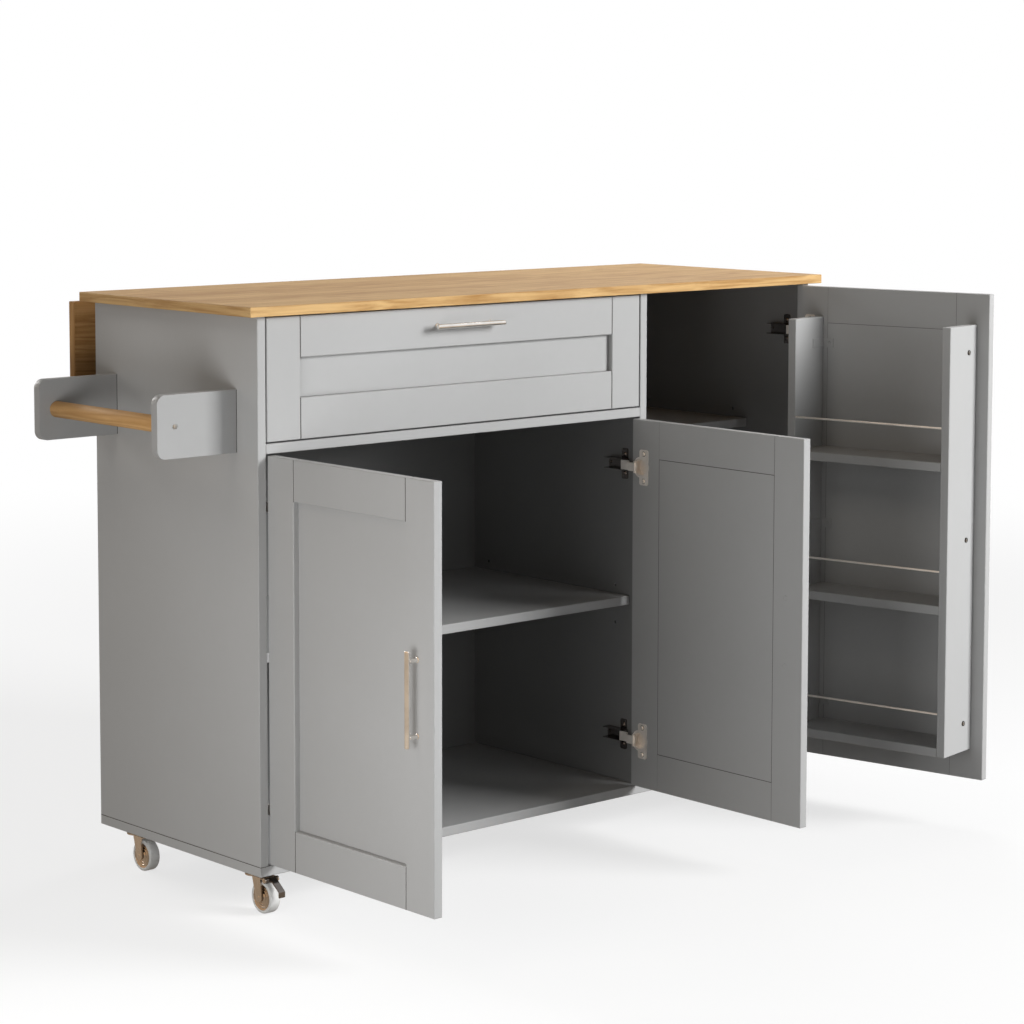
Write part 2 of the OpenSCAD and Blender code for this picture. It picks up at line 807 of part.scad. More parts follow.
module drawer_front_frame() {
    color(grey) drawer_front_place() difference() {
        shaker_frame(drawer_front_w, drawer_front_h);
        for (s = [-1, 1])
            translate([drawer_front_w / 2 + s * handle_cc / 2, 0, drawer_front_h - handle_down])
                handle_hole();
        at_front_screws() rod_y([0, door_t - 9, 0], stay_screw_r + fit, 10);
    }
}

module drawer_front_panel() {
    color(grey) drawer_front_place() shaker_panel(drawer_front_w, drawer_front_h);
}

module drawer_handle() {
    drawer_front_place() translate([drawer_front_w / 2, 0, drawer_front_h - handle_down])
        bar_handle();
}

// Stations of the four screws that hold the front to the box, in drawer-front space
module at_front_screws() {
    for (x = [stile_w / 2 + 15, drawer_front_w - stile_w / 2 - 15],
        z = [box_z - drawer_front_z + 25, box_z - drawer_front_z + box_h - 20])
        translate([x, 0, z]) children();
}

module drawer_front_screws() {
    color(steel) drawer_front_place() at_front_screws()
        translate([0, door_t + box_t, 0]) rotate([-90, 0, 0])
            screw(stay_screw_r, box_t + 8, 3.4, 1.8);
}

// Two sides between which stand the box's front and back, all grooved for the bottom
module drawer_box_walls() {
    x0 = drawer_mid - box_w / 2;
    y0 = y_front + door_t;
    groove_z = box_z + 10;
    color(grey) difference() {
        union() {
            for (x = [x0, x0 + box_w - box_t])
                translate([x, y0, box_z]) board([box_t, box_l, box_h]);
            for (y = [y0, y0 + box_l - box_t])
                translate([x0 + box_t + glue_line, y, box_z])
                    board([box_w - 2 * (box_t + glue_line), box_t, box_h]);
        }
        block_between([x0 + box_t - 5, y0 + box_t - 5, groove_z],
            [x0 + box_w - box_t + 5, y0 + box_l - box_t + 5, groove_z + bottom_t + 2 * fit]);
        drawer_front_place() at_front_screws() rod_y([0, door_t - 1, 0], 1.9, box_t + 2);
        slide_box_holes();
    }
}

module drawer_bottom() {
    x0 = drawer_mid - box_w / 2 + box_t;
    y0 = y_front + door_t + box_t;
    reach = 5 - clear;
    color(grey) block_between([x0 - reach, y0 - reach, box_z + 10 + fit],
        [x0 + box_w - 2 * box_t + reach, y0 + box_l - 2 * box_t + reach, box_z + 10 + fit + bottom_t]);
}

// ---------------------------------------------------------------- drop leaf and its stays

// Stay space: x = 0 at the stay's middle, y from the cabinet's back, z = 0 at the leaf's axis
module at_stays() {
    for (s = [-1, 1]) translate([s * stay_x, y_back, leaf_axis_z]) children();
}
axis_v = leaf_axis_y - y_back;
leaf_v = leaf_face_y - y_back;

// Side view of an arm's cheek, extruded across X from -w/2 to w/2
module across(w) { rotate([90, 0, 90]) linear_extrude(w, center = true) children(); }

// Heights of the screws in a wall arm and in a leaf arm
wall_arm_screws = [for (k = [0.26, 0.58, 0.9]) -wall_arm_l * k];
leaf_arm_screws = [for (k = [0.24, 0.56, 0.88]) -leaf_arm_l * k];

module wall_arm_holes(r, depth) {
    for (z = wall_arm_screws) rod_y([0, -depth, z], r, depth + stay_sheet + 1);
}

module leaf_arm_holes(r, depth) {
    for (z = leaf_arm_screws) rod_y([0, leaf_v - stay_sheet - 1, z], r, depth + stay_sheet + 1);
}

// The fixed arm: a channel down the cabinet's back whose cheeks carry the leaf's pin
module stay_wall_arms() {
    cheek_v = axis_v - 4;
    color(steel) at_stays() {
        difference() {
            union() {
                across(wall_arm_w) translate([0, -wall_arm_l]) square([stay_sheet, wall_arm_l]);
                across(wall_arm_w) polygon([[0, -wall_arm_l], [9, -wall_arm_l], [cheek_v, -40],
                    [axis_v + 4, -5], [axis_v, 6], [8, 0], [0, 0]]);
                across(wall_arm_w) translate([axis_v, 0]) circle(6.4);
            }
            across(wall_arm_w - 2 * stay_sheet)
                translate([stay_sheet, -wall_arm_l - 1]) square([60, wall_arm_l + 20]);
            wall_arm_holes(1.8, 1);
            rod_x([-wall_arm_w, axis_v, 0], stay_pin_r + fit, 2 * wall_arm_w);
            rod_x([-wall_arm_w, lever_v, -lever_drop], 1.5 + fit, 2 * wall_arm_w);
        }
        for (z = wall_arm_screws) translate([0, stay_sheet, z]) rotate([-90, 0, 0])
            screw(stay_screw_r, stay_sheet + back_t - 2, 3.2, 1.6);
    }
}

// The leaf's two rivets through the stays, with their heads, and the levers' two pins
module stay_pins() {
    end = wall_arm_w / 2 + 0.1;
    color(steel) at_stays() {
        rod_x([-end - 1, axis_v, 0], stay_pin_r, 2 * end + 2);
        for (s = [-1, 1]) translate([s * end, axis_v, 0]) rotate([0, s * 90, 0])
            cylinder(r1 = 4.5, r2 = 3.5, h = 1.6);
        rod_x([-end - 0.7, lever_v, -lever_drop], 1.5, 2 * end + 1.4);
    }
}

// The moving arm: a channel on the leaf's underside, its cheeks between the wall arm's
module stay_leaf_arms() {
    color(steel) at_stays() {
        difference() {
            union() {
                across(leaf_arm_w) translate([leaf_v - stay_sheet, -leaf_arm_l])
                    square([stay_sheet, leaf_arm_l - 8]);
                across(leaf_arm_w) polygon([[leaf_v, -leaf_arm_l], [leaf_v - 8, -leaf_arm_l],
                    [axis_v - 5, -45], [axis_v - stay_hub_r, 0], [axis_v + stay_hub_r, 0],
                    [leaf_v, -8]]);
                across(leaf_arm_w) translate([axis_v, 0]) circle(stay_hub_r);
            }
            across(wall_arm_w) translate([axis_v, stay_hub_r]) rotate(45) square(1.8, center = true);
            across(leaf_arm_w - 2 * stay_sheet)
                translate([leaf_v - stay_sheet - 60, -leaf_arm_l - 1]) square([60, leaf_arm_l + 20]);
            across(leaf_arm_w - 2 * stay_sheet) translate([leaf_v - 6, -8]) square([20, 20]);
            leaf_arm_holes(1.8, 1);
            rod_x([-wall_arm_w, axis_v, 0], stay_pin_r + 0.08, 2 * wall_arm_w);
        }
        for (z = leaf_arm_screws) translate([0, leaf_v - stay_sheet, z]) rotate([90, 0, 0])
            screw(stay_screw_r, stay_sheet + top_t - 3, 3.2, 1.6);
    }
}

// Sprung levers whose noses bear on the hubs of the moving arms and drop into a notch there
// once the leaf is up: a barrel, a nose above it and a finger tab below
module stay_lock_levers() {
    nose = axis_v - stay_hub_r - clear - lever_v;
    color(steel) at_stays() translate([0, lever_v, -lever_drop]) difference() {
        across(lever_w) {
            circle(lever_t);
            polygon([[-lever_t / 2, 0], [lever_t / 2, 0], [nose - lever_t, lever_drop - 6],
                [nose, lever_drop - 1], [nose, lever_drop + 1], [nose - 4.5, lever_drop + 1],
                [nose - 5.2, lever_drop - 5]]);
            translate([-1.2, -lever_tab_l]) square([2.4, lever_tab_l]);
        }
        rod_x([-wall_arm_w, 0, 0], 1.56, 2 * wall_arm_w);
    }
}

module leaf_board() {
    color(oak) difference() {
        translate([-top_w / 2, leaf_face_y, leaf_top_z - leaf_d]) board([top_w, top_t, leaf_d]);
        at_stays() leaf_arm_holes(stay_screw_r + fit, top_t - 2);
    }
}

// ---------------------------------------------------------------- spice rack

rack_z = rack_inset;
rack_h = tall_h - 2 * rack_inset;
rack_pitch = rack_h / 3;
rack_front = door_t + rack_d;
shelf_u0 = rack_u + board_t + fit;
shelf_l = rack_w - 2 * (board_t + fit);
fixing_w = door_t + 27;
fixing_heights = [rack_h - 45, rack_h / 2, 48];
angle_l = 20;
angle_t = 1.5;

// Stations of the six angles: their height in door space and the side board that they meet
module at_rack_fixings() {
    for (z = fixing_heights) translate([0, 0, rack_z + z]) {
        translate([rack_u + board_t, 0, 0]) children();
        translate([rack_u + rack_w - board_t, 0, 0]) mirror([1, 0, 0]) children();
    }
}

module rack_sides() {
    color(grey) right_door_place() difference() {
        for (u = [rack_u, rack_u + rack_w - board_t])
            translate([u, door_t, rack_z]) board([board_t, rack_d, rack_h]);
        for (k = [0, 1, 2])
            rod_x([rack_u + board_t - 6, rack_front - 2.5, rack_rod_z(k)], rod_r + fit,
                rack_w - 2 * board_t + 12);
        at_rack_fixings() rod_x([-board_t - 1, fixing_w, 0], 1.9, board_t + 2);
    }
}

function rack_shelf_z(k) = rack_z + k * rack_pitch;
function rack_rod_z(k) = rack_shelf_z(k) + board_t + rod_up;

module rack_shelves() {
    color(grey) right_door_place() for (k = [0, 1, 2])
        translate([shelf_u0, door_t, rack_shelf_z(k)]) board([shelf_l, rack_d, board_t]);
}

// Guard rods, let 5.5 mm into each side board
module rack_rods() {
    color(steel) right_door_place() for (k = [0, 1, 2])
        rod_x([rack_u + board_t - 5.5, rack_front - 2.5, rack_rod_z(k)], rod_r,
            rack_w - 2 * board_t + 11);
}

// Steel angles inside the rack, each with a screw through the side board and one into the door
module rack_fixings() {
    color(steel) right_door_place() at_rack_fixings() {
        difference() {
            union() {
                block_between([0, door_t, -8], [angle_t, door_t + angle_l + 15, 8]);
                block_between([0, door_t, -8], [angle_l, door_t + angle_t, 8]);
            }
            rod_x([-1, fixing_w, 0], 1.9, 4);
            rod_y([12, door_t - 1, 0], 1.9, 4);
        }
        translate([-board_t, fixing_w, 0]) rotate([0, -90, 0]) screw(1.8, board_t + angle_t, 3.6, 1.6);
        translate([12, door_t + angle_t, 0]) rotate([-90, 0, 0]) screw(1.6, angle_t + 4.5, 3.2, 1.6);
    }
}

// Pilot holes that the tall door has for the rack's screws
module rack_pilot_holes() {
    at_rack_fixings() rod_y([12, door_t - 5, 0], 1.65, 6);
}

// ---------------------------------------------------------------- casters

caster_corners = [[-1, -1], [1, -1], [-1, 1], [1, 1]];
module at_caster(i) {
    translate([caster_corners[i].x * caster_x, caster_corners[i].y * caster_y, 0]) children();
}
module at_casters() { for (i = [0:3]) at_caster(i) children(); }
module at_caster_screws() {
    for (sx = [-1, 1], sy = [-1, 1]) translate([sx * 17, sy * 17, 0]) children();
}
module caster_screw_holes() {
    at_caster_screws() translate([0, 0, z_base - 1]) cylinder(r = 1.95, h = 13);
}

// Mounting plates with the upper race of the swivel and four screws each
module caster_plates() {
    color(steel) at_casters() {
        difference() {
            union() {
                translate([0, 0, z_base - 2.5]) linear_extrude(2.5)
                    round_rect(caster_plate, caster_plate, 4);
                translate([0, 0, crown_z + 3.6]) cylinder(r = 13, h = z_base - 2 - crown_z - 3.6);
                translate([0, 0, crown_z - 1.6]) cylinder(r = 3.5, h = 6);
                translate([0, 0, crown_z - 1.6]) cylinder(r = 5.5, h = 1.6 - clear);
            }
            at_caster_screws() translate([0, 0, z_base - 5]) cylinder(r = 2.1, h = 9);
        }
        at_caster_screws() translate([0, 0, z_base - 2.5]) mirror([0, 0, 1]) screw(1.9, 13, 3.4, 1.8);
    }
}

// The swivelling fork: a crown, two cheeks and the axle through them
module fork(has_brake) {
    half = wheel_w / 2 + fork_gap;
    color(steel) difference() {
        union() {
            translate([0, 0, crown_z]) cylinder(r = 15, h = 3.3);
            block_between([-half - fork_t, -trail - 12, crown_z], [half + fork_t, 4, crown_z + 2.5]);
            for (s = [-1, 1]) translate([s * (half + fork_t / 2), 0, 0]) across(fork_t) {
                polygon([[4, crown_z + 2.5], [-trail - 12, crown_z + 2.5],
                    [-trail - 10, crown_z - 6], [-trail - 8, wheel_r],
                    [-trail + 7.5, wheel_r - 3], [-trail + 12, crown_z - 12]]);
                translate([-trail, wheel_r]) circle(8);
                if (has_brake) translate([-trail - pedal_y, pedal_z]) circle(4);
            }
        }
        translate([0, 0, crown_z - 5]) cylinder(r = 3.58, h = 20);
        rod_x([-30, -trail, wheel_r], axle_r + fit, 60);
        if (has_brake) rod_x([-30, -trail - pedal_y, pedal_z], 1.56, 60);
        if (has_brake) block_between([-half, -trail - 20, crown_z - 5], [half, -trail - 6, 70]);
    }
    color(steel) rod_x([-half - fork_t - 1.2, -trail, wheel_r], axle_r, 2 * (half + fork_t + 1.2));
    if (has_brake) color(steel)
        rod_x([-half - fork_t - 0.8, -trail - pedal_y, pedal_z], 1.5, 2 * (half + fork_t + 0.8));
}

// A wheel: a dished metal-faced hub in a soft tyre with rounded shoulders
module wheel() {
    half = wheel_w / 2;
    color(steel) translate([0, -trail, wheel_r]) rotate([0, 90, 0]) rotate_extrude()
        polygon([[axle_r + 0.08, -half], [7, -half], [8.5, -half + 2], [hub_r - 3, -half + 1.5],
            [hub_r - fit, -half + 0.6], [hub_r - fit, half - 0.6], [hub_r - 3, half - 1.5],
            [8.5, half - 2], [7, half], [axle_r + 0.08, half]]);
    color(tyre_grey) translate([0, -trail, wheel_r]) rotate([0, 90, 0]) rotate_extrude() difference() {
        union() {
            translate([hub_r, -half]) square([wheel_r - hub_r - 2.5, wheel_w]);
            translate([hub_r, -half + 2.5]) square([wheel_r - hub_r, wheel_w - 5]);
            for (s = [-1, 1]) translate([wheel_r - 2.5, s * (half - 2.5)]) circle(2.5);
        }
    }
}

// The brake pedal: a barrel on the fork's pin, a shoe on the tyre and a narrower sloping foot
// plate with its tip turned down
module brake() {
    shoe_l = norm([pedal_y, pedal_z - wheel_r]) - wheel_r - clear;
    color(steel) translate([0, -trail - pedal_y, pedal_z]) difference() {
        union() {
            across(wheel_w - 3) {
                circle(3);
                rotate(atan2(pedal_y, pedal_z - wheel_r)) translate([-1.5, -shoe_l]) square([3, shoe_l]);
            }
            across(pedal_w) polygon([[0, 3], [-10, 1], [-26, -11], [-28.5, -13.5], [-28.5, -22],
                [-26.5, -22], [-26.5, -14], [-25, -12.5], [-9, -1.5], [0, -3]]);
        }
        rod_x([-30, 0, 0], 1.56, 60);
    }
}

// ---------------------------------------------------------------- nodes

worktop();
base_board();
left_side_panel();
right_side_panel();
partition();
drawer_rail();
back_panels();
left_shelf();
right_shelf();
shelf_pins();
carcass_screws();
drawer_slide_outers();
at_every_hinge() hinge_arm();  // hinge_arms
at_every_hinge() hinge_plate();  // hinge_plates
towel_brackets();
towel_dowel();
towel_rail_screws();
stay_wall_arms();
stay_pins();
caster_plates();
leaf_board();
stay_leaf_arms();
stay_lock_levers();
drawer_front_frame();
drawer_front_panel();
drawer_box_walls();
drawer_bottom();
drawer_front_screws();
drawer_slide_inners();
drawer_handle();
drawer_slide_middles();
left_door_place() door_frame(double_w, short_h, short_hinges);  // left_door_frame
color(grey) left_door_place() shaker_panel(double_w, short_h);  // left_door_panel
left_door_place() door_handle(double_w, short_h);  // left_door_handle
left_door_place() hinge_cups(short_hinges);  // left_hinge_cups
hinge_links(x_left_in, 1, left_open, short_hinges);  // left_hinge_links
middle_door_place() door_frame(double_w, short_h, short_hinges);  // middle_door_frame
color(grey) middle_door_place() shaker_panel(double_w, short_h);  // middle_door_panel
middle_door_place() door_handle(double_w, short_h);  // middle_door_handle
middle_door_place() hinge_cups(short_hinges);  // middle_hinge_cups
hinge_links(x_part, -1, middle_open, short_hinges);  // middle_hinge_links
color(grey) right_door_place() difference() {  // right_door_frame
    door_frame(single_w, tall_h, tall_hinges);
    rack_pilot_holes();
}
color(grey) right_door_place() difference() {  // right_door_panel
    shaker_panel(single_w, tall_h);
    rack_pilot_holes();
}
right_door_place() door_handle(single_w, tall_h);  // right_door_handle
right_door_place() hinge_cups(tall_hinges);  // right_hinge_cups
hinge_links(x_right_in, -1, right_open, tall_hinges);  // right_hinge_links
rack_sides();
rack_shelves();
rack_rods();
rack_fixings();
at_caster(0) fork(true);  // front_left_fork
at_caster(0) wheel();  // front_left_wheel
at_caster(0) brake();  // front_left_brake
at_caster(1) fork(true);  // front_right_fork
at_caster(1) wheel();  // front_right_wheel
at_caster(1) brake();  // front_right_brake
at_caster(2) fork(false);  // rear_left_fork
at_caster(2) wheel();  // rear_left_wheel
at_caster(3) fork(false);  // rear_right_fork
at_caster(3) wheel();  // rear_right_wheel
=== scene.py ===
"""Looks of the drop leaf kitchen island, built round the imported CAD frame. Metres, Z up."""

import bpy
import numpy as np
from mathutils import Matrix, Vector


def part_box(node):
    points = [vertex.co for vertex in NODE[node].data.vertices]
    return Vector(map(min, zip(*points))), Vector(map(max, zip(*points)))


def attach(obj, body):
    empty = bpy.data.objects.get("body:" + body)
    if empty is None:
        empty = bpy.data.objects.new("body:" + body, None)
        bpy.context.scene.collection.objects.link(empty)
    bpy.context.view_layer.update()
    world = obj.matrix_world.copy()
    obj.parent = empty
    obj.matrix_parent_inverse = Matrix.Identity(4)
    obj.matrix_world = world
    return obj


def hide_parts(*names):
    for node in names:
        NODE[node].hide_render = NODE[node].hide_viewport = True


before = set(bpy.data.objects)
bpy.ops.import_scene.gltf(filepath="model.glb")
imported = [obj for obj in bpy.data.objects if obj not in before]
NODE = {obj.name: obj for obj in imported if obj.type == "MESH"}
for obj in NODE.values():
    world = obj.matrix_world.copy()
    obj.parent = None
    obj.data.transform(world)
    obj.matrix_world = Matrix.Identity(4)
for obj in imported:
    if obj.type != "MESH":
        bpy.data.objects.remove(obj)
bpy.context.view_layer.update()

# ------------------------------------------------------------------ camera
# Stands left of the open doors at the height of a person's chest and looks along the
# cabinet's diagonal, as the photograph does. A small shift keeps the uprights nearly parallel.
EYE = np.array([-3.05279, -3.53339, 1.21271])
YAW, PITCH, ROLL = 0.72769, 0.09005, 0.00146
ahead = np.array([np.sin(YAW) * np.cos(PITCH), np.cos(YAW) * np.cos(PITCH), -np.sin(PITCH)])
level = np.array([np.cos(YAW), -np.sin(YAW), 0.0])
above = np.cross(level, ahead)
right = level * np.cos(ROLL) + above * np.sin(ROLL)
above = above * np.cos(ROLL) - level * np.sin(ROLL)
camera_data = bpy.data.cameras.new("camera")
camera_data.lens = 99.205
camera_data.shift_y = -0.15
camera_data.clip_start, camera_data.clip_end = 0.1, 100
camera = bpy.data.objects.new("camera", camera_data)
camera.matrix_world = Matrix([[*row, e] for row, e in zip(np.stack([right, above, -ahead], 1), EYE)]
                             + [[0, 0, 0, 1]])
bpy.context.scene.collection.objects.link(camera)
bpy.context.scene.camera = camera
bpy.context.scene.view_settings.view_transform = "Standard"

# ------------------------------------------------------------------ floor and light
# A pale studio floor that runs out to white, a white surround that plated metal mirrors as
# warm on the left, a large soft box in front on the right, a small one at the left of the open
# doors, and weaker ones behind and above. The boxes on the left and the key don't show in metal.


class Shade:
    """A socket of a material's nodes. Arithmetic on it adds Math nodes; make() adds any other."""

    def __init__(self, tree, socket=None):
        self.tree, self.socket = tree, socket

    def make(self, kind, values=(), out=0, **settings):
        """A node of a type, its settings first, then its sockets by name or number."""
        made = self.tree.nodes.new("ShaderNode" + kind)
        stops = settings.pop("stops", None)
        for name, value in settings.items():
            setattr(made, name, value)
        if stops:
            ramp = made.color_ramp
            while len(ramp.elements) < len(stops):
                ramp.elements.new(0.5)
            for element, (place, colour) in zip(ramp.elements, stops):
                element.position = place
                element.color = (*colour, 1)
        for name, value in dict(values).items():
            socket = made.inputs[name]
            if isinstance(value, Shade):
                self.tree.links.new(value.socket, socket)
            else:
                socket.default_value = value
        return Shade(self.tree, made.outputs[out])

    def math(self, operation, *others):
        return self.make("Math", dict(enumerate((self, *others))), operation=operation)

    def __add__(self, other):
        return self.math("ADD", other)

    def __sub__(self, other):
        return self.math("SUBTRACT", other)

    def __rsub__(self, other):
        return self.make("Math", {0: other, 1: self}, operation="SUBTRACT")

    def __mul__(self, other):
        return self.math("MULTIPLY", other)

    __radd__, __rmul__ = __add__, __mul__

    def step(self, low, high):
        """0 below low, 1 above high and a smooth rise between them."""
        values = {"Value": self, "From Min": low, "From Max": high}
        return self.make("MapRange", values, interpolation_type="SMOOTHSTEP")

    def part(self, axis):
        """The X, Y or Z number of a vector."""
        return self.make("SeparateXYZ", {0: self}, out="XYZ".index(axis))

    def times(self, x, y, z):
        """A vector with its three numbers multiplied."""
        return self.make("VectorMath", {0: self, 1: (x, y, z)}, operation="MULTIPLY")

    def noise(self, scale, detail=2.0, rough=0.5, out=0):
        """Noise at this vector, from 0 to 1, or its colour with out=1."""
        values = {"Vector": self, "Scale": scale, "Detail": detail, "Roughness": rough}
        return self.make("TexNoise", values, out=out)

    def mix(self, first, second, blend="MIX"):
        """The first colour where this number is 0 and the second where it is 1."""
        values = {0: self, 6: first, 7: second}
        return self.make("Mix", values, out=2, data_type="RGBA", blend_type=blend)


def new_material(name):
    """An empty node material: the material, its output node and a Shade to start from."""
    made = bpy.data.materials.new(name)
    made.use_nodes = True
    made.node_tree.nodes.clear()
    output = made.node_tree.nodes.new("ShaderNodeOutputMaterial")
    return made, output, Shade(made.node_tree)


FLOOR_HALF = 14.0
FLOOR_WHITE, FLOOR_BOUNCE = (0.84, 0.84, 0.84, 1), (0.25, 0.25, 0.25, 1)
FLOOR_MIRRORED = (0.62, 0.50, 0.38, 1)
NEAR_GLOW, FAR_GLOW, MIRRORED_GLOW = 0.70, 0.30, 0.75
floor_paint, output, start = new_material("studio_floor")
place = start.make("TexCoord", out=3)
far = place.make("VectorMath", {0: place}, out=1, operation="LENGTH").step(1.2, 4.5)
seen = start.make("LightPath").math("MAXIMUM", start.make("LightPath", out=6))
matte = start.make("BsdfDiffuse", {"Color": seen.mix(FLOOR_BOUNCE, FLOOR_WHITE)})
mirrored = start.make("LightPath", out=3)
glow = start.make("Emission", {"Color": mirrored.mix((1, 1, 1, 1), FLOOR_MIRRORED), "Strength": 1.0})
glowing = (far * FAR_GLOW + NEAR_GLOW) * seen + mirrored * MIRRORED_GLOW
lit = start.make("MixShader", {0: glowing, 1: matte, 2: glow})
floor_paint.node_tree.links.new(lit.socket, output.inputs[0])
floor_mesh = bpy.data.meshes.new("studio_floor")
floor_mesh.from_pydata([(x * FLOOR_HALF, y * FLOOR_HALF, -0.0002) for x, y in
                        ((-1, -1), (1, -1), (1, 1), (-1, 1))], [], [(0, 1, 2, 3)])
floor_mesh.materials.append(floor_paint)
floor = bpy.data.objects.new("studio_floor", floor_mesh)
bpy.context.scene.collection.objects.link(floor)

world = bpy.data.worlds.new("studio")
bpy.context.scene.world = world
world.use_nodes = True
world.node_tree.nodes.clear()
air = Shade(world.node_tree)
path = air.make("LightPath").math("MAXIMUM", air.make("LightPath", out=6))
mirrored = air.make("LightPath", out=3)
ROOM_LIGHT, ROOM_MIRRORED = 0.03, 1.0
WARM_WALL, PALE_WALL = (0.80, 0.57, 0.37, 1), (0.9, 0.9, 0.9, 1)
wall = air.make("TexCoord").part("X").step(-0.5, 0.3).mix(WARM_WALL, PALE_WALL)
wall = mirrored.mix((1, 1, 1, 1), wall)
level_seen = path * (1 - ROOM_LIGHT) + mirrored * (ROOM_MIRRORED - ROOM_LIGHT) + ROOM_LIGHT
sky = air.make("Background", {"Color": wall, "Strength": level_seen})
world.node_tree.links.new(sky.socket, world.node_tree.nodes.new("ShaderNodeOutputWorld").inputs[0])


def soft_box(name, at, aim, size, power, tint=(1, 1, 1), mirrored=True):
    """A square area lamp at a point, turned to face another point, and mirrored in metal or not."""
    lamp = bpy.data.lights.new(name, "AREA")
    lamp.size, lamp.energy, lamp.color = size, power, tint
    made = bpy.data.objects.new(name, lamp)
    back = np.array(at, float) - np.array(aim, float)
    back /= np.linalg.norm(back)
    side = np.cross((0, 0, 1), back)
    side /= np.linalg.norm(side)
    up = np.cross(back, side)
    made.matrix_world = Matrix([[*row, e] for row, e in zip(np.stack([side, up, back], 1), at)]
                               + [[0, 0, 0, 1]])
    made.visible_camera = False
    made.visible_glossy = mirrored
    bpy.context.scene.collection.objects.link(made)


soft_box("key", (2.13, -3.69, 2.2), (0, 0, 0.5), 1.8, 262, mirrored=False)
soft_box("front", (0.4, -4.5, 1.45), (0, 0, 0.5), 1.6, 15, (0.94, 1.0, 1.03))
soft_box("left", (-2.6, -0.7, 0.9), (-0.5, -0.3, 0.45), 1.6, 4.5, (1.02, 1.0, 0.96), False)
soft_box("left_near", (-1.6, -0.95, 0.32), (-0.58, -0.5, 0.2), 0.7, 10.8, mirrored=False)
soft_box("upper_left", (-2.5, -0.3, 3.2), (-0.3, 0, 0.6), 1.2, 12, (1.08, 1.0, 0.88), False)
soft_box("upper_right", (1.3, 0.6, 2.3), (0.4, 0, 0.9), 0.9, 13.5)
soft_box("rear_left", (-2.6, 2.2, 1.75), (-0.5, 0, 0.5), 0.4, 4.5, (1.05, 1.0, 0.92), False)
soft_box("back", (-0.9, 4.3, 2.3), (0, 0, 0.5), 1.8, 90)

# ------------------------------------------------------------------ painted boards
# The carcass, doors, drawer, rack and towel brackets are fibreboard, routed and then sprayed
# satin grey, so that every corner is slightly rounded and the film has a fine orange peel.


def surface(material, output, values, normal=None):
    """Puts a Principled shader with these socket values on a material."""
    shader = material.node_tree.nodes.new("ShaderNodeBsdfPrincipled")
    for name, value in values.items():
        if isinstance(value, Shade):
            material.node_tree.links.new(value.socket, shader.inputs[name])
        else:
            shader.inputs[name].default_value = value
    if normal is not None:
        material.node_tree.links.new(normal.socket, shader.inputs["Normal"])
    material.node_tree.links.new(shader.outputs[0], output.inputs[0])
    return material


def bump(height, strength, distance):
    """Turns a height field into a normal; distance is the height of 1, in metres."""
    values = {"Height": height, "Strength": strength, "Distance": distance}
    return height.make("Bump", values)


def dress(material, slot, radius, *nodes):
    """Gives CAD nodes a material and rounds their corners; slot is not used."""
    for name in nodes:
        NODE[name].data.materials.clear()
        NODE[name].data.materials.append(material)
        weld = NODE[name].modifiers.new("weld", "WELD")
        weld.merge_threshold = 1e-5
        corner = NODE[name].modifiers.new("corner", "BEVEL")
        corner.width, corner.segments = radius, 2
        corner.limit_method, corner.angle_limit = "ANGLE", 0.7
        corner.harden_normals = True


# Bounds of the bays' insides, where the carcass paint carries painted shade.
BAY_X, BAY_BACK, BAY_FRONT, BAY_TOP = 0.5935, 0.2025, -0.2120, 0.9010


def grey_paint(name, tone, inner=1.0):
    """Satin paint of one tone: peel bump, cloudy colour and a roughness that varies with it.
    Faces inside the bays have their tone multiplied by inner, as painted shade for the bays' dim insides."""
    material, output, start = new_material(name)
    place = start.make("TexCoord", out=3)
    cloud = place.noise(2.2, 3.0, 0.55)
    fine = place.noise(420.0, 2.0, 0.6)
    speck = place.noise(60.0, 4.0, 0.6)
    low = tuple(tone * k for k in (0.970, 0.972, 0.968)) + (1,)
    high = tuple(tone * k for k in (1.026, 1.030, 1.030)) + (1,)
    colour = (cloud * 0.8 + speck * 0.2).step(0.3, 0.7).mix(low, high)
    # Painted shade: inside the bays the tone is multiplied by inner.
    if inner < 1:
        between = place.part("X").math("ABSOLUTE").math("LESS_THAN", BAY_X)
        ahead_of_back = place.part("Y").math("LESS_THAN", BAY_BACK)
        behind_front = place.part("Y").math("GREATER_THAN", BAY_FRONT)
        under_top = place.part("Z").math("LESS_THAN", BAY_TOP)
        bay_shade_mask = between * ahead_of_back * behind_front * under_top
        shade = (bay_shade_mask * (inner - 1.0) + 1.0).mix((0, 0, 0, 1), (1, 1, 1, 1))
        colour = start.make("Mix", {0: 1.0, 6: colour, 7: shade}, out=2, data_type="RGBA",
                            blend_type="MULTIPLY")
    rough = cloud * 0.08 + speck * 0.05 + 0.40
    return surface(material, output, {"Base Color": colour, "Roughness": rough, "Specular IOR Level": 0.3},
                   bump(fine * 0.6 + speck * 0.4, 0.12, 0.0003))


GREY, BAY_SHADE, BRACKET_SHADED_GREY = 0.39, 0.54, 0.33
paint = grey_paint("grey_paint", GREY)
# BAY_SHADE darkens the carcass's faces inside the bays as painted shade.
dress(grey_paint("grey_paint_carcass_painted_bay_shade", GREY, BAY_SHADE), "grey_paint", 0.0008, "left_side_panel",
      "right_side_panel", "partition", "back_panels")
dress(paint, "grey_paint", 0.0008, "base_board", "drawer_rail", "left_shelf", "right_shelf",
      "drawer_front_frame", "drawer_front_panel", "drawer_box_walls", "drawer_bottom",
      "left_door_frame", "left_door_panel", "middle_door_frame", "middle_door_panel",
      "right_door_frame", "right_door_panel", "rack_sides", "rack_shelves")
